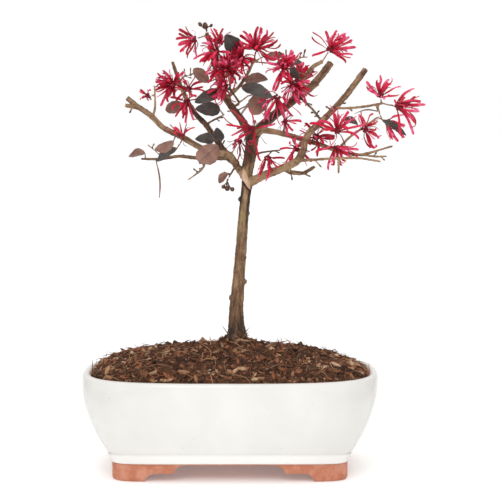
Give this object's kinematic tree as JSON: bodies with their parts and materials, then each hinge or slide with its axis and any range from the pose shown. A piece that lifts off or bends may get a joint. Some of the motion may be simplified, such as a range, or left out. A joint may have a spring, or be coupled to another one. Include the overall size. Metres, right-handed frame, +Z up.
{
  "type": "potted bonsai tree",
  "caption": "Small flowering bonsai with a bare trunk, pruned branches, strap-petalled crimson blooms and dark leaves, rooted in a rounded rectangular glazed pot on clay feet.",
  "frame": {"origin": "middle of the whole object's bounding box at floor level, on the plane its feet stand on", "axes": "+Z up along the trunk, -Y towards the front, +X to the right as seen from the front"},
  "size_m": [0.2302, 0.128, 0.3071],
  "materials": {
    "pot_glaze": "glossy warm white glaze",
    "soil": "rough damp bark and coir mulch",
    "bark": "finely fissured bark",
    "petal": "soft satin petal",
    "leaf_dark": "satin leaf, upper side towards the front",
    "leaf_mauve": "matt leaf, underside towards the front",
    "bud": "scaly bud",
    "drain_screen": "black plastic mesh"
  },
  "bodies": {
    "root": {"bloom_back_centre": "petal", "bloom_back_left": "petal", "bloom_back_right": "petal", "bloom_branch_end": "petal", "bloom_centre": "petal", "bloom_centre_left": "petal", "bloom_centre_right": "petal", "bloom_crown": "petal", "bloom_crown_left": "petal", "bloom_crown_upright": "petal", "bloom_elbow": "petal", "bloom_far_right": "petal", "bloom_far_right_up": "petal", "bloom_front": "petal", "bloom_front_hanging": "petal", "bloom_front_right": "petal", "bloom_hanging_right": "petal", "bloom_inner_left": "petal", "bloom_left": "petal", "bloom_left_low": "petal", "bloom_low_left": "petal", "bloom_low_right": "petal", "bloom_mid_right": "petal", "bloom_outer_right": "petal", "bloom_right": "petal", "bloom_right_hanging": "petal", "bloom_tip_left": "petal", "bloom_trunk": "petal", "bloom_upper_left": "petal", "bloom_upper_right": "petal", "crown_buds": "bud", "drain_screen_left": "drain_screen", "drain_screen_right": "drain_screen", "leaf_back": "leaf_dark", "leaf_big_left": "leaf_mauve", "leaf_capsule": "leaf_mauve", "leaf_centre": "leaf_dark", "leaf_centre_hanging": "leaf_mauve", "leaf_crown": "leaf_dark", "leaf_far_left": "leaf_mauve", "leaf_far_right": "leaf_dark", "leaf_far_right_low": "leaf_dark", "leaf_grey_left": "leaf_dark", "leaf_grey_up": "leaf_dark", "leaf_hanging": "leaf_mauve", "leaf_inner": "leaf_mauve", "leaf_left_long": "leaf_dark", "leaf_left_mauve": "leaf_mauve", "leaf_left_under": "leaf_dark", "leaf_low_left": "leaf_mauve", "leaf_low_left_dark": "leaf_dark", "leaf_right_dark": "leaf_dark", "leaf_right_small": "leaf_dark", "leaf_right_up": "leaf_dark", "leaf_upper_left": "leaf_mauve", "leaf_upper_right": "leaf_mauve", "low_capsules": "bud", "pot": "pot_glaze", "soil": "soil", "tree": "bark"}
  },
  "joints": []
}
